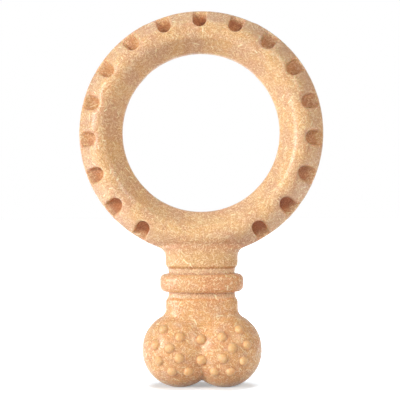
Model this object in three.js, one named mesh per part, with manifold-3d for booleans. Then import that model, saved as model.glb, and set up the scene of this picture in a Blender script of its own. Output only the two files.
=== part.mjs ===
// A dog's chew ring with a bone-shaped end, moulded in wood fibre, standing upright on its two lobes.
// Millimetres, +Z up, the front towards -Y, the origin on the ground under the middle of the toy.
import * as THREE from 'three';
import { mergeVertices } from 'three/addons/utils/BufferGeometryUtils.js';
import Module from 'manifold-3d';

const wasm = await Module();
wasm.setup();

// Ring: a round grip whose section slopes from a rounded crest to narrow edges inside and outside
const ringMidRadius = 40.1;
const ringHalfWidth = 8.7;
const ringHalfDepth = 9.5;
const ringEdgeHalfDepth = 1.2;
const ringEdgeRound = 0.8;
const crestInnerReach = 2.5;
const crestInnerRound = 2;
const crestOuterReach = 2.4;
const crestOuterRound = 2;
const ringRoundSteps = 3;
const ringSteps = 96;

// Notches: flat-bottomed pockets in the outer slopes of both faces, round at their inner ends
const notchCount = 17;
const notchPitch = THREE.MathUtils.degToRad(18.6);
const notchWidth = 5.5;
const notchInset = 7.6;
const notchDepth = 7.6;
const notchEndSteps = 8;

// Neck: an oval stem with a groove on each side of the collar
const neckHalfWidth = 14.5;
const neckHalfDepth = 7.5;
const neckSectionPower = 2.2;
const neckSteps = 40;
const neckFilletRadius = 4;
const neckFilletSteps = 5;
const grooveDepth = 1.1;
const grooveHeight = 1.9;
const shoulderHeight = 1.6;
const shoulderSteps = 5;

// Collar: a band that clasps the joint between ring and bone
const collarStand = 2.2;
const collarHeight = 7.25;
const collarEdgeRadius = 2.4;
const collarEdgeSteps = 4;

// Bone end: two lobes, studded with domed nubs
const lobeRadius = 15.05;
const lobeHalfDepth = 13;
const lobeSpread = 8.95;
const lobeSteps = 36;
const lobeRings = 20;
const lobeFilletRadius = 3.5;
const footCut = 0.4;
const nubRadius = 1.8;
const nubStand = 1.3;
const pegStand = 2.3;
const nubSides = 12;
const nubDomeSteps = 3;

// Where the nubs sit on a lobe: shares of the lobe's radius, outwards and upwards from its centre
const nubPlaceShares = [
  [0.4, 0.6],
  [-0.05, 0.43],
  [0.6, 0.21],
  [0.22, 0.15],
  [0.51, -0.2],
  [-0.03, -0.12],
  [0.17, -0.48],
  [-0.26, -0.48],
];
// Where the two pegs stand in the valley between the lobes: shares of the lobe's radius, upwards
const pegHeightShares = [0.35, -0.18];

// Dowels that pin the ring to the bone inside the collar
const dowelRadius = 3;
const dowelLength = 22;
const dowelSpread = 6.5;
const dowelChamfer = 0.6;
const dowelSides = 24;

// Fits
const clearance = 0.3;
const overrun = 5;

// Straight lengths of the neck, from the tops of the lobes and up to the ring's rim
const lowerNeckLength = 4.575;
const upperNeckLength = 3.875;

// Sizes and heights above the ground that follow from the ones above
const rimRadius = ringMidRadius + ringHalfWidth;
const shoulderTop = collarHeight / 2 + grooveHeight + shoulderHeight;
const lobeHeight = lobeRadius - footCut;
const jointHeight = lobeHeight + lobeRadius + lowerNeckLength + shoulderTop;
const ringHeight = jointHeight + shoulderTop + upperNeckLength + rimRadius;
const spigotHalfWidth = neckHalfWidth - grooveDepth;
const spigotHalfDepth = neckHalfDepth - grooveDepth;
const rightAngle = Math.PI / 2;

const composite = new THREE.MeshStandardMaterial({ color: 0xdcab78, roughness: 0.6, metalness: 0 });
const compositeBand = new THREE.MeshStandardMaterial({ color: 0xe0a570, roughness: 0.6, metalness: 0 });
const beech = new THREE.MeshStandardMaterial({ color: 0xd9b98c, roughness: 0.7, metalness: 0 });

// Solids and meshes

function solidOf(geometry) {
  const bare = geometry.index ? geometry.clone() : mergeVertices(geometry);
  bare.deleteAttribute('normal');
  bare.deleteAttribute('uv');
  const merged = mergeVertices(bare, 1e-5);
  return new wasm.Manifold(new wasm.Mesh({
    numProp: 3,
    vertProperties: new Float32Array(merged.attributes.position.array),
    triVerts: new Uint32Array(merged.index.array),
  }));
}

function geometryOf(solid) {
  const mesh = solid.getMesh();
  const geometry = new THREE.BufferGeometry();
  geometry.setAttribute('position', new THREE.BufferAttribute(mesh.vertProperties, mesh.numProp));
  geometry.setIndex(new THREE.BufferAttribute(mesh.triVerts, 1));
  geometry.computeVertexNormals();
  return geometry;
}

function piece(name, geometry, material) {
  const mesh = new THREE.Mesh(geometry, material);
  mesh.name = name;
  return mesh;
}

// A point of a rounded section. Power 2 is an oval, less leans towards a diamond, more towards a box.
function sectionPoint(angle, halfWidth, halfDepth, power) {
  const across = Math.cos(angle);
  const along = Math.sin(angle);
  return new THREE.Vector2(
    Math.sign(across) * Math.abs(across) ** (2 / power) * halfWidth,
    Math.sign(along) * Math.abs(along) ** (2 / power) * halfDepth,
  );
}

// A closed solid through stacked oval sections, each given as its height, half width and half depth
function lofted(sections) {
  const stack = [...sections].sort((a, b) => a.height - b.height);
  const positions = [];
  for (const { height, halfWidth, halfDepth } of stack) {
    for (let i = 0; i < neckSteps; i += 1) {
      const angle = (i / neckSteps) * 2 * Math.PI;
      const point = sectionPoint(angle, halfWidth, halfDepth, neckSectionPower);
      positions.push(point.x, point.y, height);
    }
  }
  const bottom = positions.length / 3;
  positions.push(0, 0, stack[0].height);
  const top = positions.length / 3;
  positions.push(0, 0, stack[stack.length - 1].height);
  const faces = [];
  for (let i = 0; i < neckSteps; i += 1) {
    const next = (i + 1) % neckSteps;
    for (let level = 0; level < stack.length - 1; level += 1) {
      const low = level * neckSteps;
      const high = low + neckSteps;
      faces.push(low + i, low + next, high + next, low + i, high + next, high + i);
    }
    const last = (stack.length - 1) * neckSteps;
    faces.push(bottom, next, i, top, last + i, last + next);
  }
  const geometry = new THREE.BufferGeometry();
  geometry.setAttribute('position', new THREE.Float32BufferAttribute(positions, 3));
  geometry.setIndex(faces);
  return geometry;
}

// Neck

// The neck from the joint outwards, up or down: spigot, groove and rounded shoulder
function neckSections(direction) {
  const sections = [{
    height: jointHeight + direction * clearance / 2,
    halfWidth: spigotHalfWidth,
    halfDepth: spigotHalfDepth,
  }];
  const grooveEnd = collarHeight / 2 + grooveHeight;
  for (let i = 0; i <= shoulderSteps; i += 1) {
    const share = i / shoulderSteps;
    const swell = grooveDepth * (1 - Math.cos(share * Math.PI)) / 2;
    sections.push({
      height: jointHeight + direction * (grooveEnd + shoulderHeight * share),
      halfWidth: spigotHalfWidth + swell,
      halfDepth: spigotHalfDepth + swell,
    });
  }
  return sections;
}

// The flare that leads the neck's sides into a round body, tangent to both. The body's round has its
// centre at a height and at a distance either side of the middle.
function flareSections(direction, centreHeight, centreAcross, radius, filletRadius) {
  const across = neckHalfWidth + filletRadius - centreAcross;
  const drop = Math.sqrt((radius + filletRadius) ** 2 - across ** 2);
  const sweep = Math.atan2(drop, across);
  const sections = [];
  for (let i = 0; i <= neckFilletSteps; i += 1) {
    const angle = (i / neckFilletSteps) * sweep;
    sections.push({
      height: centreHeight - direction * (drop - filletRadius * Math.sin(angle)),
      halfWidth: neckHalfWidth + filletRadius * (1 - Math.cos(angle)),
      halfDepth: neckHalfDepth,
    });
  }
  return sections;
}

// Both dowel holes, blind at each end
function dowelHoles() {
  const holes = [];
  for (const side of [-1, 1]) {
    const hole = new THREE.CylinderGeometry(
      dowelRadius + clearance,
      dowelRadius + clearance,
      dowelLength + 2 * clearance,
      dowelSides,
    );
    hole.rotateX(rightAngle);
    hole.translate(side * dowelSpread, 0, jointHeight);
    holes.push(solidOf(hole));
  }
  return holes;
}

// Ring

// A closed outline through corners, each rounded off over its own length along both its sides
function roundedOutline(corners) {
  const outline = new THREE.Path();
  corners.forEach(({ point, round }, i) => {
    const before = corners[(i + corners.length - 1) % corners.length].point;
    const after = corners[(i + 1) % corners.length].point;
    const start = before.clone().sub(point).setLength(round).add(point);
    const end = after.clone().sub(point).setLength(round).add(point);
    if (i === 0) {
      outline.moveTo(start.x, start.y);
    } else {
      outline.lineTo(start.x, start.y);
    }
    outline.quadraticCurveTo(point.x, point.y, end.x, end.y);
  });
  outline.closePath();
  return outline.getPoints(ringRoundSteps);
}

function ringBand() {
  const across = [
    { reach: ringHalfWidth, depth: ringEdgeHalfDepth, round: ringEdgeRound },
    { reach: crestOuterReach, depth: ringHalfDepth, round: crestOuterRound },
    { reach: -crestInnerReach, depth: ringHalfDepth, round: crestInnerRound },
    { reach: -ringHalfWidth, depth: ringEdgeHalfDepth, round: ringEdgeRound },
  ];
  const back = across.map(({ reach, depth, round }) => (
    { point: new THREE.Vector2(ringMidRadius + reach, depth), round }
  ));
  const front = across.map(({ reach, depth, round }) => (
    { point: new THREE.Vector2(ringMidRadius + reach, -depth), round }
  ));
  const band = new THREE.LatheGeometry(roundedOutline([...back, ...front.reverse()]), ringSteps);
  band.translate(0, 0, ringHeight);
  return solidOf(band);
}

// One pocket, cut inwards from the front (face -1) or the back (face 1), at an angle from the top
function notchCutter(face, angle) {
  const innerEnd = rimRadius - notchInset;
  const endCentre = innerEnd + notchWidth / 2;
  const outline = new THREE.Shape();
  outline.moveTo(rimRadius + overrun, -notchWidth / 2);
  outline.lineTo(rimRadius + overrun, notchWidth / 2);
  outline.lineTo(endCentre, notchWidth / 2);
  outline.absarc(endCentre, 0, notchWidth / 2, rightAngle, 3 * rightAngle, false);
  const cutter = new THREE.ExtrudeGeometry(outline, {
    depth: notchDepth + overrun,
    bevelEnabled: false,
    curveSegments: notchEndSteps,
  });
  cutter.rotateX(-face * rightAngle);
  cutter.translate(0, face * (ringHalfDepth - notchDepth), 0);
  cutter.rotateY(angle - rightAngle);
  cutter.translate(0, 0, ringHeight);
  return solidOf(cutter);
}

function ring() {
  const flare = flareSections(1, ringHeight, 0, rimRadius, neckFilletRadius);
  const root = {
    height: ringHeight - ringMidRadius,
    halfWidth: spigotHalfDepth,
    halfDepth: spigotHalfDepth,
  };
  let solid = ringBand().add(solidOf(lofted([...neckSections(1), ...flare, root])));
  for (const face of [-1, 1]) {
    for (let i = 0; i < notchCount; i += 1) {
      const angle = (i - (notchCount - 1) / 2) * notchPitch;
      solid = solid.subtract(notchCutter(face, angle));
    }
  }
  for (const hole of dowelHoles()) {
    solid = solid.subtract(hole);
  }
  return piece('ring', geometryOf(solid), composite);
}

// Collar

// The band's outside, its upper and lower edges rounded to a quarter circle
function collarOutside() {
  const sections = [];
  for (const direction of [-1, 1]) {
    for (let i = 0; i <= collarEdgeSteps; i += 1) {
      const angle = (i / collarEdgeSteps) * rightAngle;
      const inset = collarEdgeRadius * (1 - Math.sin(angle));
      const rise = collarEdgeRadius * (1 - Math.cos(angle));
      sections.push({
        height: jointHeight + direction * (collarHeight / 2 - rise),
        halfWidth: neckHalfWidth + collarStand - inset,
        halfDepth: neckHalfDepth + collarStand - inset,
      });
    }
  }
  return solidOf(lofted(sections));
}

function collarInside() {
  const sections = [];
  for (const direction of [-1, 1]) {
    sections.push({
      height: jointHeight + direction * (collarHeight / 2 + overrun),
      halfWidth: spigotHalfWidth + clearance,
      halfDepth: spigotHalfDepth + clearance,
    });
  }
  return solidOf(lofted(sections));
}

function neckCollar() {
  return piece('neck_collar', geometryOf(collarOutside().subtract(collarInside())), compositeBand);
}

// Bone end

function lobe(side) {
  const ball = new THREE.SphereGeometry(lobeRadius, lobeSteps, lobeRings);
  ball.scale(1, lobeHalfDepth / lobeRadius, 1);
  ball.translate(side * lobeSpread, 0, lobeHeight);
  return solidOf(ball);
}

// A round peg with a domed end that stands a given length out of the surface, rooted inside the lobe
function nub(foot, outwards, stand) {
  const profile = [new THREE.Vector2(0, -nubRadius), new THREE.Vector2(nubRadius, -nubRadius)];
  for (let i = 0; i < nubDomeSteps; i += 1) {
    const angle = (i / nubDomeSteps) * rightAngle;
    profile.push(new THREE.Vector2(
      nubRadius * Math.cos(angle),
      stand - nubStand + nubStand * Math.sin(angle),
    ));
  }
  profile.push(new THREE.Vector2(0, stand));
  const dome = new THREE.LatheGeometry(profile, nubSides);
  const turn = new THREE.Quaternion().setFromUnitVectors(new THREE.Vector3(0, 1, 0), outwards);
  dome.applyQuaternion(turn);
  dome.translate(foot.x, foot.y, foot.z);
  return solidOf(dome);
}

// Half the lobe's thickness at a place given in shares of its radius
function lobeDepthAt(acrossShare, upShare) {
  return lobeHalfDepth * Math.sqrt(1 - acrossShare ** 2 - upShare ** 2);
}

function lobeNub(side, face, acrossShare, upShare) {
  const across = acrossShare * lobeRadius;
  const up = upShare * lobeRadius;
  const depth = lobeDepthAt(acrossShare, upShare);
  const foot = new THREE.Vector3(side * (lobeSpread + across), face * depth, lobeHeight + up);
  const outwards = new THREE.Vector3(
    side * across / lobeRadius ** 2,
    face * depth / lobeHalfDepth ** 2,
    up / lobeRadius ** 2,
  ).normalize();
  return nub(foot, outwards, nubStand);
}

function valleyPeg(face, upShare) {
  const depth = lobeDepthAt(lobeSpread / lobeRadius, upShare);
  const foot = new THREE.Vector3(0, face * depth, lobeHeight + upShare * lobeRadius);
  return nub(foot, new THREE.Vector3(0, face, 0), pegStand);
}

function groundCutter() {
  const width = 2 * (lobeSpread + lobeRadius + overrun);
  const slab = new THREE.BoxGeometry(width, 2 * (lobeHalfDepth + overrun), overrun);
  slab.translate(0, 0, -overrun / 2);
  return solidOf(slab);
}

function boneEnd() {
  const flare = flareSections(-1, lobeHeight, lobeSpread, lobeRadius, lobeFilletRadius);
  const root = { height: lobeHeight, halfWidth: neckHalfWidth, halfDepth: neckHalfDepth };
  let solid = solidOf(lofted([...neckSections(-1), ...flare, root]));
  solid = solid.add(lobe(-1)).add(lobe(1));
  for (const face of [-1, 1]) {
    for (const upShare of pegHeightShares) {
      solid = solid.add(valleyPeg(face, upShare));
    }
    for (const side of [-1, 1]) {
      for (const [acrossShare, upShare] of nubPlaceShares) {
        solid = solid.add(lobeNub(side, face, acrossShare, upShare));
      }
    }
  }
  solid = solid.subtract(groundCutter());
  for (const hole of dowelHoles()) {
    solid = solid.subtract(hole);
  }
  return piece('bone_end', geometryOf(solid), composite);
}

// Dowels

function dowel(name, side) {
  const end = dowelLength / 2;
  const profile = [
    new THREE.Vector2(0, -end),
    new THREE.Vector2(dowelRadius - dowelChamfer, -end),
    new THREE.Vector2(dowelRadius, -end + dowelChamfer),
    new THREE.Vector2(dowelRadius, end - dowelChamfer),
    new THREE.Vector2(dowelRadius - dowelChamfer, end),
    new THREE.Vector2(0, end),
  ];
  const rod = new THREE.LatheGeometry(profile, dowelSides);
  rod.rotateX(rightAngle);
  const mesh = piece(name, rod, beech);
  mesh.position.set(side * dowelSpread, 0, jointHeight);
  return mesh;
}

const chewRing = new THREE.Group();
chewRing.name = 'chew_ring';
chewRing.add(ring());
chewRing.add(neckCollar());
chewRing.add(boneEnd());
chewRing.add(dowel('dowel_left', -1));
chewRing.add(dowel('dowel_right', 1));

export default chewRing;
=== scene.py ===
import math

import bpy
from mathutils import Matrix, Vector

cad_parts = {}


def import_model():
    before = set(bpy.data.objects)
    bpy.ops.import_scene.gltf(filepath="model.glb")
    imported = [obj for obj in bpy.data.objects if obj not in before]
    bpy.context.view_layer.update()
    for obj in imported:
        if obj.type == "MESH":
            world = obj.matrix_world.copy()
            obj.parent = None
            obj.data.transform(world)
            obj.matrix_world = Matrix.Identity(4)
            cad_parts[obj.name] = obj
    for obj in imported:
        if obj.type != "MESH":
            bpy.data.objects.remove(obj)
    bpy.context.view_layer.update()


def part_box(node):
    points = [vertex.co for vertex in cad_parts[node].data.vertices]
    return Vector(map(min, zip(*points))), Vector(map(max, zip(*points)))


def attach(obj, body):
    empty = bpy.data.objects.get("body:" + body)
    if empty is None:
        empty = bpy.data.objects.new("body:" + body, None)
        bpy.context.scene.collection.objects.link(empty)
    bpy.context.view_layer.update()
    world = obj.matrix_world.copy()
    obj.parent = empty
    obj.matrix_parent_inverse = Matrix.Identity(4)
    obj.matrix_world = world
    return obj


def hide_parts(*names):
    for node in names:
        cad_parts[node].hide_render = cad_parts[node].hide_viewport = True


# A dog's chew ring with a bone-shaped end, moulded in wood fibre. Metres, the front towards -Y.
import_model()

MM = 0.001
FRONT_AND_BACK = (-1, 1)
LEFT_AND_RIGHT = (-1, 1)
FULL_TURN = 2 * math.pi
RIGHT_ANGLE = math.pi / 2

# Ring, measured on the frame
ring_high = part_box("ring")[1]
rim_radius = ring_high.x
ring_half_depth = ring_high.y
ring_height = ring_high.z - rim_radius
ring_half_width = 8.7 * MM
ring_mid_radius = rim_radius - ring_half_width
ring_edge_half_depth = 1.2 * MM
ring_edge_round = 0.8 * MM
ring_edge_steps = 4
crest_inner_reach = 2.5 * MM
crest_inner_round = 2 * MM
crest_inner_steps = 8
crest_outer_reach = 2.4 * MM
crest_outer_round = 2 * MM
crest_outer_steps = 12
ring_spin_steps = 240
ring_centre = Vector((0, 0, ring_height))
ring_voxel = 0.22 * MM
ring_smoothings = 2
root_smoothings = 250
root_crease_height = ring_height - rim_radius + 4.1 * MM
root_crease_reach = 6 * MM
root_crease_half_width = 22 * MM

# Notches round the ring's outer edge
notch_count = 17
notch_pitch = math.radians(18.6)
notch_width = 5.5 * MM
notch_inset = 7.6 * MM
notch_depth = 7.6 * MM
round_vertices = 48

# Collar and neck
collar_low, collar_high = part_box("neck_collar")
collar_height = collar_high.z - collar_low.z
joint_height = (collar_high.z + collar_low.z) / 2
collar_stand = 2.2 * MM
collar_edge_radius = 2.4 * MM
collar_edge_steps = 8
collar_corner_steps = 24
collar_seat_gap = 0.05 * MM
collar_voxel = 0.25 * MM
collar_smoothings = 4
neck_half_width = collar_high.x - collar_stand
neck_half_depth = collar_high.y - collar_stand
neck_power = 2.2
neck_corner_steps = 12
neck_fillet_radius = 4 * MM
flare_steps = 12
groove_depth = 1.1 * MM
groove_height = 1.9 * MM
groove_end = collar_height / 2 + groove_height
shoulder_height = 1.6 * MM
shoulder_steps = 10
joint_gap = 0.3 * MM

# Bone end
lobe_radius = 15.05 * MM
lobe_half_depth = 13 * MM
lobe_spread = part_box("bone_end")[1].x - lobe_radius
foot_cut = 0.4 * MM
lobe_height = lobe_radius - foot_cut
lobe_fillet_radius = 3.5 * MM
lobe_segments = 96
lobe_rings = 64
valley_half_width = 4 * MM
valley_top = lobe_height + 8 * MM
valley_softness = 0.6
lobe_crease_height = 25.5 * MM
lobe_crease_reach = 6 * MM
rough_bone_voxel = 0.35 * MM
lobe_crease_smoothings = 50
bone_voxel = 0.26 * MM
bone_smoothings = 3
nub_radius = 1.8 * MM
nub_stand = 1.3 * MM
nub_segments = 32
nub_rings = 24
peg_stand = 2.3 * MM
nub_place_shares = [
    (0.4, 0.6),
    (-0.05, 0.43),
    (0.6, 0.21),
    (0.22, 0.15),
    (0.51, -0.2),
    (-0.03, -0.12),
    (0.17, -0.48),
    (-0.26, -0.48),
]
peg_height_shares = [0.35, -0.18]

# Dowels
dowel_low, dowel_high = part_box("dowel_right")
dowel_radius = (dowel_high.x - dowel_low.x) / 2
dowel_length = dowel_high.z - dowel_low.z
dowel_spread = (dowel_high.x + dowel_low.x) / 2
dowel_chamfer = 0.6 * MM
dowel_hole_gap = 0.3 * MM
flute_count = 16
flute_depth = 0.25 * MM
flute_half_share = 0.1
crisp_angle = math.radians(20)

# What all pieces share
tiny = 0.01 * MM
doubles_gap = 0.001 * MM
flat_angle = math.radians(1)
round_profile = 0.5
most_triangles = 190000
softening_start = 2 * MM
softening_rise = 3 * MM

# Finish
bump_depth = 0.05 * MM
composite_roughness = 0.28
streak_roughness = 0.12
specular_level = 0.45
subsurface_weight = 0.4
subsurface_radius = (1.4 * MM, 0.6 * MM, 0.3 * MM)
sheen_weight = 0.12
sheen_roughness = 0.35
sheen_tint = (0.86, 0.93, 1, 1)
beech_roughness = 0.55
beech_stretch = 0.08

# Studio
white = (1, 1, 1)
warm_white = (1, 0.94, 0.86)
floor_size = 6
floor_roughness = 0.9
floor_bounce = (0.39, 0.35, 0.32, 1)
floor_seen = (0.75, 0.83, 0.91, 1)
floor_glow = 0.35
glow_start = 50 * MM
glow_full = 120 * MM
ambient = 0.06
lamp_aim = Vector((0, 0, 75)) * MM
lamp_distance = 2.4
lamp_size = 0.9
floor_lamp_distance = 0.6
floor_lamp_size = 0.6
camera_place = Vector((15, -430, 76)) * MM
camera_aim = Vector((-0.5, 0, 74.4)) * MM
camera_roll = math.radians(-0.33)
camera_angle = math.radians(21.07)


# Modelling helpers


def only(*objects):
    """Selects these objects and nothing else, and makes the first one active."""
    bpy.ops.object.select_all(action="DESELECT")
    for one in objects:
        one.select_set(True)
    bpy.context.view_layer.objects.active = objects[0]


def object_mode():
    bpy.ops.object.mode_set(mode="OBJECT")


def edit_mode(obj, chosen=None):
    """Opens a mesh with all of it selected, or only the vertices whose place is chosen."""
    only(obj)
    bpy.ops.object.mode_set(mode="EDIT")
    bpy.ops.mesh.select_mode(type="VERT")
    bpy.ops.mesh.select_all(action="DESELECT" if chosen else "SELECT")
    if chosen:
        object_mode()
        for vertex in obj.data.vertices:
            vertex.select = chosen(vertex.co)
        bpy.ops.object.mode_set(mode="EDIT")


def added():
    """The primitive that was just added, with its place moved into its mesh."""
    obj = bpy.context.active_object
    only(obj)
    bpy.ops.object.transform_apply(location=True, rotation=True, scale=True)
    return obj


def modified(obj, kind, **settings):
    """Adds one modifier with its settings and applies it."""
    only(obj)
    modifier = obj.modifiers.new(kind, kind)
    for name, value in settings.items():
        setattr(modifier, name, value)
    bpy.ops.object.modifier_apply(modifier=modifier.name)


def remeshed(obj, voxel):
    """Melts overlapping shells into one even skin of small squares."""
    modified(obj, "REMESH", mode="VOXEL", voxel_size=voxel)


def smoothed(obj, repeats, group=""):
    modified(obj, "SMOOTH", factor=0.5, iterations=repeats, vertex_group=group)


def joined(first, *others):
    if others:
        only(first, *others)
        bpy.ops.object.join()
    return first


def cut(obj, cutter):
    modified(obj, "BOOLEAN", operation="DIFFERENCE", solver="EXACT", object=cutter)
    bpy.data.objects.remove(cutter)
    return obj


def placed(obj, matrix):
    """Moves and turns an object by a matrix, and keeps its new place in its mesh."""
    only(obj)
    obj.matrix_world = matrix
    bpy.ops.object.transform_apply(location=True, rotation=True, scale=True)
    return obj


def copied(obj, matrix):
    twin = obj.copy()
    twin.data = obj.data.copy()
    bpy.context.collection.objects.link(twin)
    return placed(twin, matrix)


def turned_about_ring(angle):
    there = Matrix.Translation(ring_centre)
    return there @ Matrix.Rotation(angle, 4, "Y") @ there.inverted()


def bevel_profile(power):
    """Blender's name for the power of a rounded corner."""
    return 0.5 ** (2 / power)


def section(half_width, half_depth, power, corner_steps, place):
    """A flat rounded outline: a plane whose corners are beveled until they meet."""
    bpy.ops.mesh.primitive_plane_add(size=2, location=place)
    obj = bpy.context.active_object
    obj.scale = (half_width, half_depth, 1)
    added()
    edit_mode(obj)
    bpy.ops.mesh.bevel(
        affect="VERTICES",
        offset_type="PERCENT",
        offset_pct=50,
        segments=corner_steps,
        profile=bevel_profile(power),
    )
    bpy.ops.mesh.remove_doubles(threshold=doubles_gap)
    object_mode()
    return obj


def stem(rows, corner_steps):
    """An oval solid through rows of height, half width and half depth, extruded row by row."""
    height, half_width, half_depth = rows[0]
    obj = section(half_width, half_depth, neck_power, corner_steps, (0, 0, height))
    edit_mode(obj)
    for next_height, next_width, next_depth in rows[1:]:
        bpy.ops.mesh.extrude_region_move(
            TRANSFORM_OT_translate={"value": (0, 0, next_height - height)}
        )
        bpy.ops.transform.resize(
            value=(next_width / half_width, next_depth / half_depth, 1),
            center_override=(0, 0, next_height),
        )
        height, half_width, half_depth = next_height, next_width, next_depth
    bpy.ops.mesh.select_all(action="SELECT")
    bpy.ops.mesh.normals_make_consistent(inside=False)
    object_mode()
    return obj


def thinned(obj):
    """Merges the flattest faces until the piece has few enough triangles."""
    ratio = most_triangles / (2 * len(obj.data.polygons))
    if ratio < 1:
        modified(obj, "DECIMATE", ratio=ratio)


def softened(obj, near, repeats):
    """Smooths only where near(point) is above 0, by that much."""
    group = obj.vertex_groups.new(name="soft")
    for vertex in obj.data.vertices:
        weight = near(vertex.co)
        if weight > 0:
            group.add([vertex.index], min(weight, 1), "REPLACE")
    smoothed(obj, repeats, "soft")
    obj.vertex_groups.clear()


def finished(obj, name, material):
    obj.name = name
    obj.data.name = name
    obj.data.materials.clear()
    obj.data.materials.append(material)
    only(obj)
    bpy.ops.object.shade_smooth()
    return obj


# Neck rows


def neck_rows(direction):
    """Spigot, groove and rounded shoulder, from the joint outwards."""
    spigot_width = neck_half_width - groove_depth
    spigot_depth = neck_half_depth - groove_depth
    rows = [(joint_height + direction * joint_gap / 2, spigot_width, spigot_depth)]
    for step in range(shoulder_steps + 1):
        share = step / shoulder_steps
        swell = groove_depth * (1 - math.cos(math.pi * share)) / 2
        height = joint_height + direction * (groove_end + shoulder_height * share)
        rows.append((height, spigot_width + swell, spigot_depth + swell))
    return rows


def flare_rows(direction, centre_height, centre_across, radius, fillet_radius):
    """The neck's sides lead into a round of the ring or the lobes in an arc tangent to both."""
    across = neck_half_width + fillet_radius - centre_across
    drop = math.sqrt((radius + fillet_radius) ** 2 - across**2)
    sweep = math.atan2(drop, across)
    rows = []
    for step in range(flare_steps + 1):
        angle = step / flare_steps * sweep
        height = centre_height - direction * (drop - fillet_radius * math.sin(angle))
        half_width = centre_across + across - fillet_radius * math.cos(angle)
        rows.append((height, half_width, neck_half_depth))
    return rows


def upper_neck_rows():
    flare = flare_rows(1, ring_height, 0, rim_radius, neck_fillet_radius)
    root = neck_half_depth - groove_depth
    return neck_rows(1) + flare + [(ring_height - ring_mid_radius, root, root)]


def lower_neck_rows():
    flare = flare_rows(-1, lobe_height, lobe_spread, lobe_radius, lobe_fillet_radius)
    return neck_rows(-1) + flare + [(lobe_height, neck_half_width, neck_half_depth)]


def dowel_hole_cutter():
    """Both dowel holes, blind at each end."""
    holes = []
    for side in LEFT_AND_RIGHT:
        bpy.ops.mesh.primitive_cylinder_add(
            vertices=round_vertices,
            radius=dowel_radius + dowel_hole_gap,
            depth=dowel_length + 2 * dowel_hole_gap,
            location=(side * dowel_spread, 0, joint_height),
        )
        holes.append(added())
    return joined(*holes)


# Ring


def round_corners(obj, across, reach, steps):
    """Rounds the section's corners at one distance from its middle, over this much of each side."""
    edit_mode(obj, lambda place: abs(place.x - across) < tiny)
    bpy.ops.mesh.bevel(affect="VERTICES", offset=reach, segments=steps, profile=round_profile)
    object_mode()


def ring_section():
    """The grip's section: narrow edges inside and outside, and slopes up to a rounded crest."""
    bpy.ops.mesh.primitive_plane_add(size=2)
    obj = bpy.context.active_object
    obj.scale = ((crest_inner_reach + crest_outer_reach) / 2, ring_half_depth, 1)
    obj.location = ((crest_outer_reach - crest_inner_reach) / 2, 0, 0)
    added()
    for side, crest_reach in ((-1, crest_inner_reach), (1, crest_outer_reach)):
        edit_mode(obj, lambda place: side * place.x > crest_reach - tiny)
        bpy.ops.mesh.extrude_region_move()
        bpy.ops.transform.resize(
            value=(0, ring_edge_half_depth / ring_half_depth, 1),
            center_override=(side * ring_half_width, 0, 0),
        )
        object_mode()
    edit_mode(obj)
    bpy.ops.mesh.dissolve_limited(angle_limit=flat_angle)
    object_mode()
    round_corners(obj, -crest_inner_reach, crest_inner_round, crest_inner_steps)
    round_corners(obj, crest_outer_reach, crest_outer_round, crest_outer_steps)
    round_corners(obj, -ring_half_width, ring_edge_round, ring_edge_steps)
    round_corners(obj, ring_half_width, ring_edge_round, ring_edge_steps)
    return placed(obj, Matrix.Translation((ring_mid_radius, 0, ring_height)))


def ring_band():
    """The grip: its section spun round the ring's axis."""
    obj = ring_section()
    edit_mode(obj)
    bpy.ops.mesh.delete(type="ONLY_FACE")
    bpy.ops.mesh.select_all(action="SELECT")
    bpy.ops.mesh.spin(
        steps=ring_spin_steps,
        angle=FULL_TURN,
        center=ring_centre,
        axis=(0, 1, 0),
        use_auto_merge=True,
    )
    bpy.ops.mesh.select_all(action="SELECT")
    bpy.ops.mesh.remove_doubles(threshold=tiny)
    bpy.ops.mesh.normals_make_consistent(inside=False)
    object_mode()
    return obj


def notch_cutter(face):
    """A round punch at the top of the ring, stretched past the rim."""
    reach = 2 * ring_half_depth
    floor = ring_half_depth - notch_depth
    inner_end = ring_height + rim_radius - notch_inset
    end_centre = inner_end + notch_width / 2
    bpy.ops.mesh.primitive_cylinder_add(
        vertices=round_vertices,
        radius=notch_width / 2,
        depth=reach,
        location=(0, face * (floor + reach / 2), end_centre),
        rotation=(RIGHT_ANGLE, 0, 0),
    )
    obj = added()
    edit_mode(obj, lambda place: place.z > end_centre + tiny)
    bpy.ops.transform.translate(value=(0, 0, 2 * notch_inset))
    object_mode()
    return obj


def all_notches():
    """The punches of both faces, evenly round the ring, with none at the neck."""
    cutters = []
    for face in FRONT_AND_BACK:
        punch = notch_cutter(face)
        for number in range(notch_count):
            angle = (number - (notch_count - 1) / 2) * notch_pitch
            cutters.append(copied(punch, turned_about_ring(angle)))
        bpy.data.objects.remove(punch)
    return joined(*cutters)


def off_outline(point):
    """Up to 0 near the middle plane, where the outline is, and 1 well in front or behind it."""
    return min((abs(point.y) - softening_start) / softening_rise, 1)


def near_ring_root(point):
    """How strongly the crease between ring and neck is rounded: not at the outline's flare."""
    drop = abs(point.z - root_crease_height) / root_crease_reach
    across = abs(point.x) / root_crease_half_width
    return min(2 * (1 - drop), 1) * (1 - across**4) * off_outline(point)


def ring(material):
    """The notched grip and the upper neck, melted into one."""
    band = cut(ring_band(), all_notches())
    neck = cut(stem(upper_neck_rows(), neck_corner_steps), dowel_hole_cutter())
    obj = joined(band, neck)
    remeshed(obj, ring_voxel)
    softened(obj, near_ring_root, root_smoothings)
    smoothed(obj, ring_smoothings)
    thinned(obj)
    return finished(obj, "moulded_ring", material)


# Collar


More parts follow.
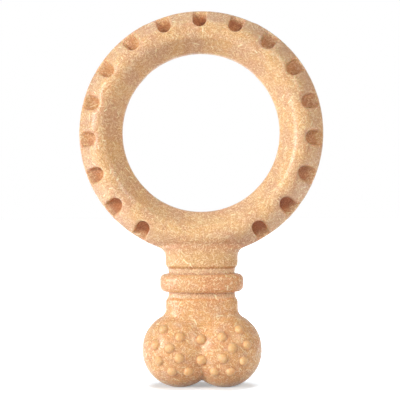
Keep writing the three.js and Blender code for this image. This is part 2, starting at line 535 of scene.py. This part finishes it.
def collar(material):
    """A band with rounded edges and an oval hole that sits in the bottom of the grooves."""
    rows = []
    for direction in (-1, 1):
        half = []
        for step in range(collar_edge_steps + 1):
            angle = step / collar_edge_steps * RIGHT_ANGLE
            inset = collar_edge_radius * (1 - math.sin(angle))
            rise = collar_edge_radius * (1 - math.cos(angle))
            half.append((
                joint_height + direction * (collar_height / 2 - rise),
                neck_half_width + collar_stand - inset,
                neck_half_depth + collar_stand - inset,
            ))
        rows += half if direction < 0 else half[::-1]
    obj = stem(rows, collar_corner_steps)
    hole_width = neck_half_width - groove_depth + collar_seat_gap
    hole_depth = neck_half_depth - groove_depth + collar_seat_gap
    hole_rows = [
        (joint_height - collar_height, hole_width, hole_depth),
        (joint_height + collar_height, hole_width, hole_depth),
    ]
    cut(obj, stem(hole_rows, collar_corner_steps))
    remeshed(obj, collar_voxel)
    smoothed(obj, collar_smoothings)
    return finished(obj, "moulded_collar", material)


# Bone end


def lobe_depth(across_share, up_share):
    """How deep a lobe is there, from its middle plane. Shares are of its radius."""
    return lobe_half_depth * math.sqrt(1 - across_share**2 - up_share**2)


def lobe(side):
    bpy.ops.mesh.primitive_uv_sphere_add(
        segments=lobe_segments,
        ring_count=lobe_rings,
        radius=lobe_radius,
        location=(side * lobe_spread, 0, lobe_height),
        scale=(1, lobe_half_depth / lobe_radius, 1),
    )
    return added()


def nub(foot, outwards, stand):
    """A round peg with a domed top, standing out of the lobe along outwards."""
    wall = stand - nub_stand + nub_radius
    bpy.ops.mesh.primitive_uv_sphere_add(
        segments=nub_segments,
        ring_count=nub_rings,
        radius=nub_radius,
        scale=(1, 1, nub_stand / nub_radius),
    )
    obj = added()
    edit_mode(obj, lambda place: place.z < -tiny)
    bpy.ops.transform.translate(value=(0, 0, -wall))
    object_mode()
    turn = outwards.to_track_quat("Z", "Y").to_matrix().to_4x4()
    lift = Matrix.Translation((0, 0, stand - nub_stand))
    return placed(obj, Matrix.Translation(foot) @ turn @ lift)


def nub_places(side, face):
    """The foot of each nub on one face of one lobe, the way it points and how far it stands out."""
    places = []
    for across_share, up_share in nub_place_shares:
        across = across_share * lobe_radius
        up = up_share * lobe_radius
        depth = lobe_depth(across_share, up_share)
        foot = Vector((side * (lobe_spread + across), face * depth, lobe_height + up))
        outwards = Vector((
            side * across / lobe_radius**2,
            face * depth / lobe_half_depth**2,
            up / lobe_radius**2,
        ))
        places.append((foot, outwards.normalized(), nub_stand))
    return places


def peg_places(face):
    """The same for the pegs in the valley between the lobes."""
    places = []
    for up_share in peg_height_shares:
        depth = lobe_depth(lobe_spread / lobe_radius, up_share)
        foot = Vector((0, face * depth, lobe_height + up_share * lobe_radius))
        places.append((foot, Vector((0, face, 0)), peg_stand))
    return places


def near_lobe_creases(point):
    """How strongly the valley between the lobes and their crease with the neck are rounded."""
    valley = valley_softness * (1 - abs(point.x) / valley_half_width)
    if point.z > valley_top:
        valley = 0
    neck = 2 * (1 - abs(point.z - lobe_crease_height) / lobe_crease_reach)
    return max(valley, min(neck, 1) * off_outline(point))


def bone_end(material):
    """Neck and lobes melted into one, then the nubs, and last the flat feet."""
    neck = cut(stem(lower_neck_rows(), neck_corner_steps), dowel_hole_cutter())
    obj = joined(neck, lobe(-1), lobe(1))
    remeshed(obj, rough_bone_voxel)
    softened(obj, near_lobe_creases, lobe_crease_smoothings)
    for face in FRONT_AND_BACK:
        places = peg_places(face) + nub_places(-1, face) + nub_places(1, face)
        joined(obj, *[nub(*place) for place in places])
    remeshed(obj, bone_voxel)
    smoothed(obj, bone_smoothings)
    thinned(obj)
    edit_mode(obj)
    bpy.ops.mesh.bisect(
        plane_co=(0, 0, 0), plane_no=(0, 0, 1), use_fill=True, clear_inner=True
    )
    object_mode()
    return finished(obj, "moulded_bone_end", material)


# Dowels


def dowel(name, side, material):
    """A fluted dowel pin with chamfered ends."""
    axis = Vector((side * dowel_spread, 0, joint_height))
    bpy.ops.mesh.primitive_cylinder_add(
        vertices=4 * flute_count, radius=dowel_radius, depth=dowel_length, location=axis
    )
    obj = added()
    edit_mode(obj, lambda place: abs(place.z - axis.z) > dowel_length / 2 - tiny)
    bpy.ops.mesh.bevel(offset=dowel_chamfer, segments=2, affect="EDGES")
    object_mode()

    def in_flute(place):
        flutes = math.atan2(place.y, place.x - axis.x) / FULL_TURN * flute_count
        return abs(flutes - round(flutes)) < flute_half_share

    edit_mode(obj, in_flute)
    narrowed = 1 - flute_depth / dowel_radius
    bpy.ops.transform.resize(value=(narrowed, narrowed, 1), center_override=axis)
    object_mode()
    obj = finished(obj, name, material)
    bpy.ops.object.shade_smooth_by_angle(angle=crisp_angle)
    return obj


# Shader expressions


class Wire:
    """A socket in a node tree. Arithmetic on it adds Math nodes, and on vectors Vector Math."""

    def __init__(self, shader, socket):
        self.shader = shader
        self.socket = socket

    def is_vector(self):
        return self.socket.type in ("VECTOR", "RGBA")

    def other(self, output):
        """Another output of the same node."""
        return Wire(self.shader, self.socket.node.outputs[output])

    def combined(self, operation, first, second):
        vectors = any(isinstance(x, Wire) and x.is_vector() for x in (first, second))
        kind = "ShaderNodeVectorMath" if vectors else "ShaderNodeMath"
        return self.shader.node(kind, {"operation": operation}, {0: first, 1: second})

    def __add__(self, other):
        return self.combined("ADD", self, other)

    def __radd__(self, other):
        return self.combined("ADD", other, self)

    def __sub__(self, other):
        return self.combined("SUBTRACT", self, other)

    def __rsub__(self, other):
        return self.combined("SUBTRACT", other, self)

    def __mul__(self, other):
        return self.combined("MULTIPLY", self, other)

    def __rmul__(self, other):
        return self.combined("MULTIPLY", other, self)

    def __truediv__(self, other):
        return self.combined("DIVIDE", self, other)

    def __rtruediv__(self, other):
        return self.combined("DIVIDE", other, self)

    def __abs__(self):
        return self.combined("ABSOLUTE", self, 0.0)


class Shader:
    """The nodes of a material or a world, written as expressions."""

    def __init__(self, owner):
        self.owner = owner
        owner.use_nodes = True
        self.tree = owner.node_tree
        self.tree.nodes.clear()

    def feed(self, socket, value):
        if isinstance(value, Wire):
            self.tree.links.new(value.socket, socket)
        elif isinstance(value, (int, float)) and socket.type == "VECTOR":
            socket.default_value = (value, value, value)
        else:
            socket.default_value = value

    def node(self, kind, settings=None, inputs=None, output=0):
        """Any node: its settings first, then the values or links of its sockets."""
        made = self.tree.nodes.new(kind)
        for name, value in (settings or {}).items():
            setattr(made, name, value)
        for name, value in (inputs or {}).items():
            self.feed(made.inputs[name], value)
        return Wire(self, made.outputs[output]) if made.outputs else None

    def place(self):
        return self.node("ShaderNodeTexCoord", output="Object")

    def vector(self, operation, *values, output=0):
        inputs = dict(enumerate(values))
        return self.node("ShaderNodeVectorMath", {"operation": operation}, inputs, output)

    def dot(self, first, second):
        return self.vector("DOT_PRODUCT", first, second, output="Value")

    def distance(self, first, second):
        return self.vector("DISTANCE", first, second, output="Value")

    def maths(self, operation, *values):
        return self.node("ShaderNodeMath", {"operation": operation}, dict(enumerate(values)))

    def smaller(self, first, second):
        return self.maths("MINIMUM", first, second)

    def part(self, vector, axis):
        return self.node("ShaderNodeSeparateXYZ", {}, {0: vector}, axis)

    def mixed(self, share, first, second):
        return self.node(
            "ShaderNodeMix", {"data_type": "RGBA"}, {0: share, 6: first, 7: second}, output=2
        )

    def eased(self, value, low, high):
        """0 up to low, 1 from high, smooth between. With low above high, the other way round."""
        ends = {"From Min": low, "From Max": high, "To Min": 0.0, "To Max": 1.0}
        if low > high:
            ends = {"From Min": high, "From Max": low, "To Min": 1.0, "To Max": 0.0}
        settings = {"interpolation_type": "SMOOTHSTEP"}
        return self.node("ShaderNodeMapRange", settings, {"Value": value, **ends})

    def tinted(self, base, colour, strength, value, start, full):
        """The base turned towards a colour as the value goes from start to full, up to strength."""
        return self.mixed(self.eased(value, start, full) * strength, base, colour)

    def noise(self, at, size, detail=1.0, roughness=0.5):
        """Cloudy noise whose blotches are about this many metres across."""
        inputs = {"Vector": at, "Scale": 1 / size, "Detail": detail, "Roughness": roughness}
        return self.node("ShaderNodeTexNoise", {}, inputs)

    def chips(self, at, spacing):
        """Small chips, each turned its own way in the surface: where a point lies along, across
        and above its chip, and a random colour of the chip's own."""
        normal = self.node("ShaderNodeTexCoord", output="Normal")
        cell = self.node(
            "ShaderNodeTexVoronoi", {}, {"Vector": at, "Scale": 1 / spacing}, "Position"
        )
        own = cell.other("Color")
        middle = (0.5, 0.5, 0.5)
        way = own - middle
        run = self.vector("NORMALIZE", way - normal * self.dot(way, normal))
        side = self.vector("CROSS_PRODUCT", normal, run)
        gap = at - cell
        return self.dot(gap, run), self.dot(gap, side), self.dot(gap, normal), own

    def dashes(self, at, spacing, length, width):
        """Noise in short streaks, which run one way in each chip."""
        along, across, _, own = self.chips(at, spacing)
        far_apart = (37.0, 53.0, 91.0)
        layer = self.dot(own, far_apart)
        stretched = self.node(
            "ShaderNodeCombineXYZ", {}, {0: along / length, 1: across / width, 2: layer}
        )
        return self.noise(stretched, 1)

    def straws(self, at, spacing, half_length, half_width, skin):
        """A mask of straight fibres: the chips' own lines, of those that lie near the surface,
        each from half to one and a half times as long as asked, with soft ends and sides."""
        along, across, above, own = self.chips(at, spacing)
        own_length = self.dot(own, (0.5, 0.5, 0.0)) + 0.5
        ends = self.eased(abs(along) / own_length, half_length, 0.75 * half_length)
        sides = self.eased(abs(across), half_width, 0.4 * half_width)
        return ends * sides * self.eased(abs(above), skin, 0.7 * skin)

    def seen(self):
        """1 for what the camera sees, mirrored or through glass too, and 0 for bounced light."""
        camera_ray = self.node("ShaderNodeLightPath", output="Is Camera Ray")
        glossy_ray = camera_ray.other("Is Glossy Ray")
        through_ray = camera_ray.other("Is Transmission Ray")
        return self.smaller(camera_ray + glossy_ray + through_ray, 1.0)

    def surface(self, values, relief):
        """The material itself: the shader's values, and a relief from 0 to 1 as fine bumps."""
        bump = self.node("ShaderNodeBump", {}, {"Distance": bump_depth, "Height": relief})
        principled = self.node("ShaderNodeBsdfPrincipled", {}, {"Normal": bump, **values})
        self.node("ShaderNodeOutputMaterial", {}, {"Surface": principled})
        return self.owner


def material_shader(name):
    return Shader(bpy.data.materials.new(name))


# Colours


def linear(red, green, blue):
    """A colour given as it looks on screen, from 0 to 255."""
    return tuple(
        c / 12.92 if c <= 0.04045 else ((c + 0.055) / 1.055) ** 2.4
        for c in (red / 255, green / 255, blue / 255)
    ) + (1,)


tan = linear(217, 167, 126)
golden_tan = linear(230, 183, 124)
pale_patch = linear(243, 212, 164)
brown_patch = linear(206, 149, 110)
pale_streak = linear(252, 231, 192)
brown_streak = linear(188, 134, 96)
pale_grain = linear(254, 236, 202)
brown_grain = linear(180, 124, 88)
pale_fibre = linear(252, 232, 190)
pale_fleck = linear(251, 229, 184)
pale_straw = linear(255, 242, 206)
groove_grey = linear(228, 202, 176)
# Painted shadow for the thin lines beside the collar and under the groove's shoulder
painted_shadow_brown = linear(178, 104, 60)
# The upper neck's yellow: partly its own tone, partly a painted highlight
neck_yellow_and_highlight = linear(238, 200, 124)
# The crease's brown: partly its own tone, partly painted shade
crease_brown_and_shade = linear(202, 134, 92)
flank_brown = linear(202, 140, 90)
# Painted shade in the notches
painted_notch_shadow_colour = linear(206, 148, 98)
collar_orange = linear(222, 144, 76)
bone_gold = linear(226, 154, 80)
bone_yellow = linear(244, 194, 112)
bone_brown = linear(196, 128, 84)
# Grey patches: partly mottling, partly painted sheen
bone_grey_and_sheen = linear(232, 214, 196)
# Painted shade round the nubs' feet
painted_nub_foot_shade = linear(186, 112, 66)
nub_yellow = linear(255, 220, 156)
dark_beech = linear(196, 156, 108)
light_beech = linear(226, 194, 150)

# Where each tone and painted shade starts and where it is full: heights above the joint or above
# the ring's middle, distances from the ring's axis, from the object's middle plane, from a painted
# shadow line or from a nub
neck_yellow_heights = (13.5 * MM, 11 * MM)
crease_low_heights = (12 * MM, 14.5 * MM)
crease_high_heights = (19 * MM, 15.5 * MM)
flank_radii = (43.2 * MM, 46 * MM)
groove_heights = (groove_end + 0.5 * MM, groove_end + 0.2 * MM)
# Painted shadow lines: beside the collar and under the upper groove's shoulder
shadow_line_distances = (0.6 * MM, 0.2 * MM)
collar_shadow_height = collar_height / 2 + 0.2 * MM
shoulder_shadow_height = groove_end + 0.6 * MM
# Where the painted shade in the notches lies, and where it grows on the right, at the bottom and at
# the top
notch_sides = (notch_width / 2 + 0.6 * MM, notch_width / 2 + 0.3 * MM)
notch_radii = (rim_radius - notch_inset - 0.5 * MM, rim_radius - notch_inset)
notch_numbers = (notch_count / 2 + 0.1, notch_count / 2)
notch_sinking = (0.4 * MM, 5 * MM)
notch_right = (-30 * MM, 30 * MM)
notch_low_heights = (-8 * MM, -28 * MM)
notch_top_heights = (38 * MM, 44 * MM)
# Painted shade: the collar turns more orange towards its shaded right side
collar_shaded_side = (-4 * MM, 3 * MM)
# Painted shade round the nubs' feet, then the nubs' own paler tone
nub_foot_shade_distances = (2.8 * MM, 1.9 * MM)
nub_distances = (1.95 * MM, 1.75 * MM)

# Grain of the composite
cloud_size = 9 * MM
patch_size = 3 * MM
grain_size = 0.42 * MM
blotch_size = 3.2 * MM
grey_size = 3.6 * MM
streak = {"spacing": 1.6 * MM, "length": 0.6 * MM, "width": 0.26 * MM}
fibre = {"spacing": 1.4 * MM, "half_length": 0.6 * MM, "half_width": 0.22 * MM, "skin": 0.4 * MM}
fleck = {"spacing": 2 * MM, "half_length": 0.8 * MM, "half_width": 0.27 * MM, "skin": 0.45 * MM}
straw = {"spacing": 4.6 * MM, "half_length": 1.2 * MM, "half_width": 0.3 * MM, "skin": 0.45 * MM}


# Materials


def material_shader(name):
    return Shader(bpy.data.materials.new(name))


def wood_composite(name, tones, shade=None):
    """Pressed wood fibre: mottled tan with pale fibres and a soft sheen. What tones(shader, at,
    base) returns is the base colour with the piece's tones under the grain, some of them painted
    shade or highlight, and shade the same over it, with painted shade in the notches and round the
    nub feet. The number added to each place keeps the patterns apart."""
    shader = material_shader(name)
    at = shader.place()
    clouds = shader.noise(at + 0.31, cloud_size)
    patches = shader.noise(at + 0.17, patch_size, detail=2.0)
    streaks = shader.dashes(at, **streak)
    grain = shader.noise(at, grain_size)
    fibres = shader.straws(at + 0.07, **fibre)
    flecks = shader.straws(at + 0.19, **fleck)
    straws = shader.straws(at + 0.13, **straw)

    base = shader.mixed(shader.eased(clouds, 0.35, 0.65), tan, golden_tan)
    base = shader.tinted(base, pale_patch, 0.5, patches, 0.5, 0.75)
    base = shader.tinted(base, brown_patch, 0.5, patches, 0.5, 0.28)
    base = tones(shader, at, base)
    base = shader.tinted(base, pale_streak, 0.5, streaks, 0.5, 0.7)
    base = shader.tinted(base, brown_streak, 0.6, streaks, 0.5, 0.3)
    base = shader.tinted(base, pale_grain, 0.5, grain, 0.53, 0.72)
    base = shader.tinted(base, brown_grain, 0.4, grain, 0.5, 0.27)
    base = shader.mixed(fibres * 0.7, base, pale_fibre)
    base = shader.mixed(flecks * 0.7, base, pale_fleck)
    base = shader.mixed(straws * 0.9, base, pale_straw)
    if shade:
        base = shade(shader, at, base)
    values = {
        "Base Color": base,
        "Roughness": composite_roughness + streaks * streak_roughness,
        "Specular IOR Level": specular_level,
        "Sheen Weight": sheen_weight,
        "Sheen Roughness": sheen_roughness,
        "Sheen Tint": sheen_tint,
        "Subsurface Weight": subsurface_weight,
        "Subsurface Radius": subsurface_radius,
        "Subsurface Scale": 1.0,
    }
    return shader.surface(values, streaks * 0.6 + grain * 0.4 + fibres * 0.3)


def painted_shadow_line(shader, base, off_line):
    """A thin painted shadow line, where this distance from it is small."""
    return shader.tinted(base, painted_shadow_brown, 0.5, abs(off_line), *shadow_line_distances)


def groove_tones(shader, at, base):
    """Paler and greyer in the grooves beside the collar, with a painted shadow line along the
    collar.
    """
    from_joint = abs(shader.part(at, "Z") - joint_height)
    base = shader.tinted(base, groove_grey, 0.4, from_joint, *groove_heights)
    return painted_shadow_line(shader, base, from_joint - collar_shadow_height)


def ring_radius(shader, at):
    """How far a point is from the ring's axis."""
    return shader.distance(at * (1, 0, 1), ring_centre)


def ring_tones(shader, at, base):
    """The upper neck is yellower than the grip, partly its own tone and partly a painted highlight.
    The crease between them is browner, partly its own tone and partly painted shade, and the
    grip's outer slope is browner. A painted shadow line runs under the groove's shoulder."""
    from_joint = shader.part(at, "Z") - joint_height
    # Upper neck: partly its own yellow, partly a painted highlight
    base = shader.tinted(base, neck_yellow_and_highlight, 0.45, from_joint, *neck_yellow_heights)
    # The crease: partly its own brown, partly painted shade
    above_neck = shader.eased(from_joint, *crease_low_heights)
    crease = above_neck * shader.eased(from_joint, *crease_high_heights)
    base = shader.mixed(crease * 0.55, base, crease_brown_and_shade)
    base = shader.tinted(base, flank_brown, 0.35, ring_radius(shader, at), *flank_radii)
    # Painted shadow line under the groove's shoulder
    base = painted_shadow_line(shader, base, from_joint - shoulder_shadow_height)
    return groove_tones(shader, at, base)


def painted_notch_shade(shader, at, base):
    """Painted shade: notch floors turn darker and redder with depth, most at the ring's top and
    bottom, and more on the right.
    """
    across = shader.part(at, "X")
    depth = abs(shader.part(at, "Y"))
    up = shader.part(at, "Z") - ring_height
    radius = ring_radius(shader, at)
    slope = (ring_half_depth - ring_edge_half_depth) / (ring_half_width - crest_outer_reach)
    skin = ring_edge_half_depth + (rim_radius - radius) * slope
    sunk = shader.smaller(skin, ring_half_depth) - depth
    notch_number = abs(shader.maths("ARCTAN2", across, up)) / notch_pitch
    off_middle = abs(notch_number - shader.maths("ROUND", notch_number)) * notch_pitch * radius
    in_notch = (
        shader.eased(off_middle, *notch_sides)
        * shader.eased(radius, *notch_radii)
        * shader.eased(notch_number, *notch_numbers)
    )
    sinking = shader.eased(sunk, *notch_sinking)
    right = shader.eased(across, *notch_right)
    lowest = shader.eased(up, *notch_low_heights)
    topmost = shader.eased(up, *notch_top_heights)
    # How dark the painted shade is in each place
    painted_shade = in_notch * sinking * (0.15 + right * 0.18 + lowest * 0.55 + topmost * 0.5)
    return base * shader.mixed(painted_shade, (*white, 1), painted_notch_shadow_colour)


def collar_tones(shader, at, base):
    """The collar is more orange to the right of its middle: painted shade on its shaded side, over
    its own orange.
    """
    right = shader.eased(shader.part(at, "X"), *collar_shaded_side)
    return shader.mixed(0.4 + right * 0.3, base, collar_orange)


def bone_tones(shader, at, base):
    """The bone is more golden and more mottled than the ring, with grey patches that are partly
    mottling and partly painted sheen.
    """
    blotches = shader.noise(at + 0.43, blotch_size)
    grey_and_sheen_patches = shader.noise(at + 0.57, grey_size)
    base = shader.mixed(0.55, base, bone_gold)
    base = shader.tinted(base, bone_yellow, 0.3, blotches, 0.5, 0.7)
    base = shader.tinted(base, bone_brown, 0.3, blotches, 0.5, 0.3)
    # Grey patches: partly mottling, partly painted sheen
    base = shader.tinted(base, bone_grey_and_sheen, 0.3, grey_and_sheen_patches, 0.56, 0.74)
    return groove_tones(shader, at, base)


def nub_tone_and_foot_shade(shader, at, base):
    """Nubs are paler and yellower than the lobes, with painted shade round their feet."""
    folded = shader.vector("ABSOLUTE", at)
    gaps = [
        shader.distance(folded, foot + outwards * (stand - nub_stand))
        for foot, outwards, stand in nub_places(1, 1) + peg_places(1)
    ]
    nearest = gaps[0]
    for gap in gaps[1:]:
        nearest = shader.smaller(nearest, gap)
    # Painted shade round the nubs' feet
    base = shader.tinted(base, painted_nub_foot_shade, 0.35, nearest, *nub_foot_shade_distances)
    return shader.tinted(base, nub_yellow, 0.4, nearest, *nub_distances)


def beech(name):
    """Plain turned beech with fine grain along the dowel."""
    shader = material_shader(name)
    along = shader.node(
        "ShaderNodeMapping", {}, {"Vector": shader.place(), "Scale": (1, 1, beech_stretch)}
    )
    grain = shader.noise(along, 0.5 * MM, detail=3.0, roughness=0.6)
    colour = shader.mixed(grain, dark_beech, light_beech)
    values = {"Base Color": colour, "Roughness": beech_roughness + grain * 0.1}
    return shader.surface(values, grain)


# Scene


def stage():
    """A pale floor, white round the object, which keeps the shadow between and under the lobes."""
    bpy.ops.mesh.primitive_plane_add(size=floor_size)
    floor = bpy.context.active_object
    floor.name = "floor"
    shader = material_shader("floor_white")
    seen = shader.seen()
    tone = shader.mixed(seen, floor_bounce, floor_seen)
    values = {"Base Color": tone, "Roughness": floor_roughness}
    principled = shader.node("ShaderNodeBsdfPrincipled", {}, values)
    away = shader.vector("LENGTH", shader.place(), output="Value")
    glow_strength = shader.eased(away, glow_start, glow_full) * (1 - floor_glow) + floor_glow
    glow = shader.node("ShaderNodeEmission", {}, {"Strength": seen * glow_strength})
    both = shader.node("ShaderNodeAddShader", {}, {0: principled, 1: glow})
    shader.node("ShaderNodeOutputMaterial", {}, {"Surface": both})
    floor.data.materials.append(shader.owner)
    return floor


def world():
    """White where it is seen, and a weak even light on everything else."""
    studio = bpy.data.worlds.new("studio")
    bpy.context.scene.world = studio
    shader = Shader(studio)
    strength = shader.seen() * (1 - ambient) + ambient
    background = shader.node(
        "ShaderNodeBackground", {}, {"Color": (*white, 1), "Strength": strength}
    )
    shader.node("ShaderNodeOutputWorld", {}, {"Surface": background})


def lamp(
    name, azimuth, elevation, watts, colour=white, distance=lamp_distance, size=lamp_size
):
    """A round softbox aimed at the middle of the object. Azimuth 0 is in front, 90 on the right."""
    light = bpy.data.lights.new(name, "AREA")
    light.shape = "DISK"
    light.size = size
    light.energy = watts
    light.color = colour
    obj = bpy.data.objects.new(name, light)
    turn = math.radians(azimuth)
    rise = math.radians(elevation)
    outwards = Vector((
        math.sin(turn) * math.cos(rise), -math.cos(turn) * math.cos(rise), math.sin(rise)
    ))
    obj.location = lamp_aim + distance * outwards
    obj.rotation_mode = "QUATERNION"
    obj.rotation_quaternion = outwards.to_track_quat("Z", "Y")
    bpy.context.scene.collection.objects.link(obj)
    return obj


def camera():
    """Straight in front, a little to the right, at the height of the object's middle."""
    data = bpy.data.cameras.new("camera")
    obj = bpy.data.objects.new("camera", data)
    bpy.context.scene.collection.objects.link(obj)
    obj.location = camera_place
    obj.rotation_mode = "QUATERNION"
    roll = Matrix.Rotation(camera_roll, 3, "Z").to_quaternion()
    obj.rotation_quaternion = (camera_aim - camera_place).to_track_quat("-Z", "Y") @ roll
    data.angle = camera_angle
    data.clip_start = 10 * MM
    bpy.context.scene.camera = obj


camera()
floor = stage()
world()
lamp("key", -55, 15, 40)
lamp("side", -70, 0, 22)
lamp("fill", 45, 32, 23, colour=warm_white)
lamp("top", 0, 78, 6)
floor_lamp = lamp(
    "floor_lamp", 0, 90, 7, distance=floor_lamp_distance, size=floor_lamp_size
)
lit_by_floor_lamp = bpy.data.collections.new("floor_only")
lit_by_floor_lamp.objects.link(floor)
floor_lamp.light_linking.receiver_collection = lit_by_floor_lamp

composite = wood_composite("wood_composite_ring", ring_tones, painted_notch_shade)
collar_composite = wood_composite("wood_composite_collar", collar_tones)
bone_composite = wood_composite("wood_composite_bone", bone_tones, nub_tone_and_foot_shade)
dowel_wood = beech("dowel_beech")

pieces = [
    (ring(composite), "ring", "composite"),
    (collar(collar_composite), "neck_collar", "composite"),
    (bone_end(bone_composite), "bone_end", "composite"),
    (dowel("fluted_dowel_left", -1, dowel_wood), "dowel_left", "dowel_wood"),
    (dowel("fluted_dowel_right", 1, dowel_wood), "dowel_right", "dowel_wood"),
]
for obj, node, slot in pieces:
    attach(obj, "root")
    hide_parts(node)

bpy.context.scene.view_settings.view_transform = "Standard"
